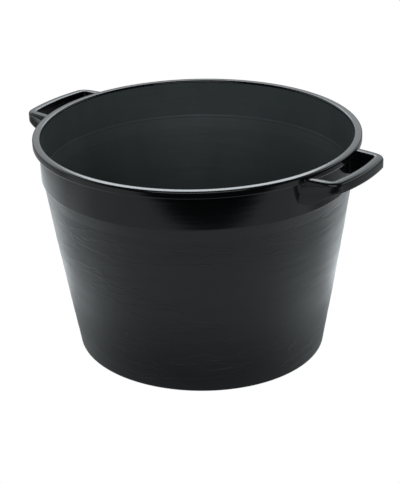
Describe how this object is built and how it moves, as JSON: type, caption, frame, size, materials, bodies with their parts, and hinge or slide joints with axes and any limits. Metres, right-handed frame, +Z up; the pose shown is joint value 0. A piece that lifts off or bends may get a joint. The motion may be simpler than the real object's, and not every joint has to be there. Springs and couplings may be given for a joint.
{
  "type": "mortar mixing tub",
  "caption": "Round tapered mixing tub of black polyethylene with an upright collar, a rolled rim and two moulded loop handles.",
  "frame": {"origin": "on the ground, at the centre of the standing ring", "axes": "+Z up along the tub's axis, +X through the right handle, so the handles lie on +X and -X"},
  "size_m": [0.6624, 0.56, 0.39],
  "materials": {
    "body": "satin black polyethylene with faint horizontal flow marks",
    "collar": "smooth glossy black polyethylene",
    "rim": "smooth glossy black polyethylene",
    "handle": "semi-gloss black polyethylene"
  },
  "bodies": {
    "root": {"floor_plate": "body", "foot_ring": "body", "lower_wall": "body", "stacking_shoulder": "body", "collar_band": "collar", "rim_bead": "rim", "rim_skirt": "rim", "right_handle_grip": "handle", "right_handle_front_arm": "handle", "right_handle_rear_arm": "handle", "left_handle_grip": "handle", "left_handle_front_arm": "handle", "left_handle_rear_arm": "handle"}
  },
  "joints": []
}
